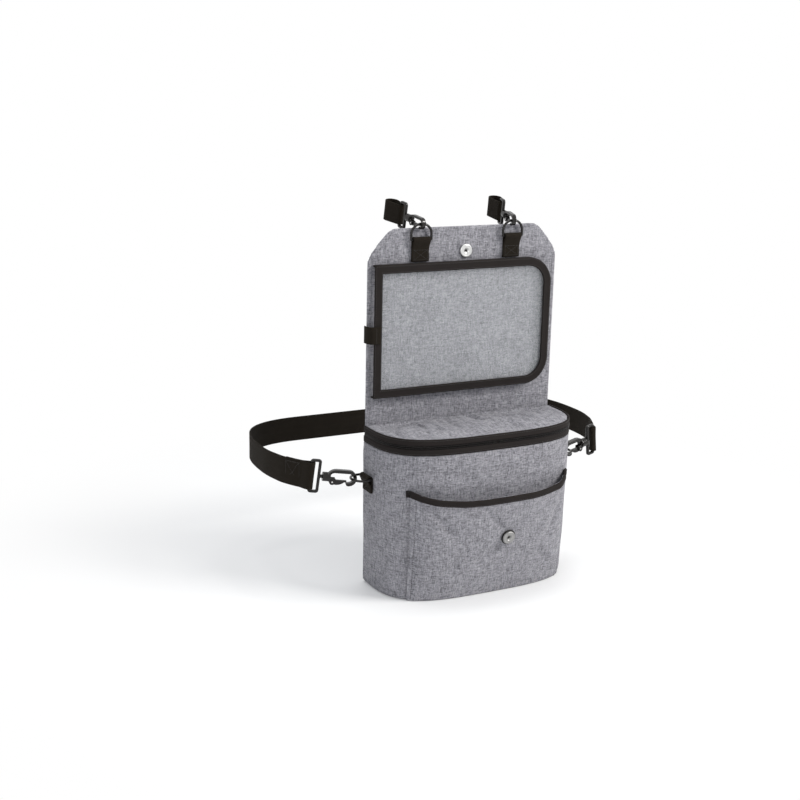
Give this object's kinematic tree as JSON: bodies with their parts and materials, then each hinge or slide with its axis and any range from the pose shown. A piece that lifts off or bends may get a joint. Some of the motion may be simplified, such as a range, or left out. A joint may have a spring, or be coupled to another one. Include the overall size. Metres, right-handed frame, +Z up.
{
  "type": "car_seat_back_organizer",
  "caption": "Fabric car organizer that hangs behind a seat back, with a clear window pocket, a zip-lidded storage box, a front pocket, strap hooks and a belt",
  "frame": {"origin": "midway between the centres of the two upper strap loops, where the posts pass that hold the part up", "axes": "+Z up along the hanging panel, +Y to the rear, towards the seat back, +X to the right as seen from in front of the window pocket"},
  "size_m": [0.5338, 0.3565, 0.5337],
  "materials": {
    "grey_fabric": "melange woven polyester",
    "webbing": "ribbed woven webbing",
    "binding": "fine woven tape",
    "black_plastic": "glossy moulded plastic",
    "zip_coil": "matt plastic",
    "silver_metal": "bright plated metal",
    "window_film": "clear flexible film"
  },
  "bodies": {
    "organizer": {"back_panel": "grey_fabric", "box_wall": "grey_fabric", "box_base": "grey_fabric", "front_pocket": "grey_fabric", "zip_tape_lower": "binding", "zip_coil_lower": "zip_coil", "zip_slider": "silver_metal", "window_binding": "binding", "window_film": "window_film", "closing_tab": "webbing", "top_snap": "silver_metal", "pocket_snap": "silver_metal", "pocket_snap_rim": "zip_coil", "pocket_binding": "binding", "binding_end_left": "binding", "binding_end_right": "binding", "belt_webbing": "webbing", "top_tab_left": "webbing", "side_tab_left": "webbing", "side_ring_left": "black_plastic", "belt_hook_left_eye": "black_plastic", "top_tab_right": "webbing", "side_tab_right": "webbing", "side_ring_right": "black_plastic", "belt_hook_right_eye": "black_plastic"},
    "hanger_left": {"d_ring_left": "black_plastic", "strap_hook_left_body": "black_plastic", "strap_hook_left_gate_pin": "silver_metal"},
    "strap_gate_left": {"strap_hook_left_gate": "black_plastic"},
    "strap_eye_left": {"strap_hook_left_eye": "black_plastic", "hanger_strap_left": "webbing"},
    "belt_hook_left": {"belt_hook_left_body": "black_plastic", "belt_hook_left_gate_pin": "silver_metal"},
    "belt_gate_left": {"belt_hook_left_gate": "black_plastic"},
    "hanger_right": {"d_ring_right": "black_plastic", "strap_hook_right_body": "black_plastic", "strap_hook_right_gate_pin": "silver_metal"},
    "strap_gate_right": {"strap_hook_right_gate": "black_plastic"},
    "strap_eye_right": {"strap_hook_right_eye": "black_plastic", "hanger_strap_right": "webbing"},
    "belt_hook_right": {"belt_hook_right_body": "black_plastic", "belt_hook_right_gate_pin": "silver_metal"},
    "belt_gate_right": {"belt_hook_right_gate": "black_plastic"},
    "lid": {"box_lid": "grey_fabric", "zip_tape_upper": "binding", "zip_coil_upper": "zip_coil"},
    "zip_pull": {"zip_pull": "silver_metal"},
    "adjuster": {"belt_adjuster": "black_plastic"}
  },
  "joints": [
    {"name": "lid_hinge", "type": "hinge", "parent": "organizer", "child": "lid", "pos_m": [0, -0.06667, -0.28673], "axis": [-1, 0, 0], "range_deg": [0, 70]},
    {"name": "zip_pull_swing", "type": "hinge", "parent": "organizer", "child": "zip_pull", "pos_m": [0.15895, -0.08037, -0.29788], "axis": [0, -1, 0], "range_deg": [0, 170]},
    {"name": "adjuster_slide", "type": "slide", "parent": "organizer", "child": "adjuster", "axis": [1, 0, 0], "range_m": [-0.2, 0.08]},
    {"name": "hanger_swing_left", "type": "hinge", "parent": "organizer", "child": "hanger_left", "pos_m": [-0.072, -0.07063, -0.03303], "axis": [1, 0, 0], "range_deg": [0, 120]},
    {"name": "strap_gate_left_hinge", "type": "hinge", "parent": "hanger_left", "child": "strap_gate_left", "pos_m": [-0.07541, -0.04912, -0.01233], "axis": [-0.9877, -0.1564, 0], "range_deg": [0, 18], "stiffness_Nm_per_rad": 0.02, "springref_deg": -28.65},
    {"name": "strap_swivel_left", "type": "hinge", "parent": "hanger_left", "child": "strap_eye_left", "pos_m": [-0.07229, -0.06878, -0.01103], "axis": [-0.1545, 0.9755, 0.1564], "continuous": true},
    {"name": "hanger_swing_right", "type": "hinge", "parent": "organizer", "child": "hanger_right", "pos_m": [0.072, -0.07063, -0.03303], "axis": [1, 0, 0], "range_deg": [0, 120]},
    {"name": "strap_gate_right_hinge", "type": "hinge", "parent": "hanger_right", "child": "strap_gate_right", "pos_m": [0.07541, -0.04912, -0.01233], "axis": [-0.9877, 0.1564, 0], "range_deg": [0, 18], "stiffness_Nm_per_rad": 0.02, "springref_deg": -28.65},
    {"name": "strap_swivel_right", "type": "hinge", "parent": "hanger_right", "child": "strap_eye_right", "pos_m": [0.07229, -0.06878, -0.01103], "axis": [0.1545, 0.9755, 0.1564], "continuous": true},
    {"name": "belt_swivel_left", "type": "hinge", "parent": "organizer", "child": "belt_hook_left", "pos_m": [-0.18064, -0.0805, -0.35496], "axis": [-0.9631, 0.2401, 0.1219], "range_deg": [-25, 25]},
    {"name": "belt_gate_left_hinge", "type": "hinge", "parent": "belt_hook_left", "child": "belt_gate_left", "pos_m": [-0.20341, -0.07482, -0.35863], "axis": [-0.2419, -0.9703, 0], "range_deg": [0, 24], "stiffness_Nm_per_rad": 0.03, "springref_deg": -28.65},
    {"name": "belt_swivel_right", "type": "hinge", "parent": "organizer", "child": "belt_hook_right", "pos_m": [0.18064, -0.0805, -0.35496], "axis": [0.9631, 0.2401, 0.1219], "range_deg": [-25, 25]},
    {"name": "belt_gate_right_hinge", "type": "hinge", "parent": "belt_hook_right", "child": "belt_gate_right", "pos_m": [0.20341, -0.07482, -0.35863], "axis": [-0.2419, 0.9703, 0], "range_deg": [0, 24], "stiffness_Nm_per_rad": 0.03, "springref_deg": -28.65}
  ]
}
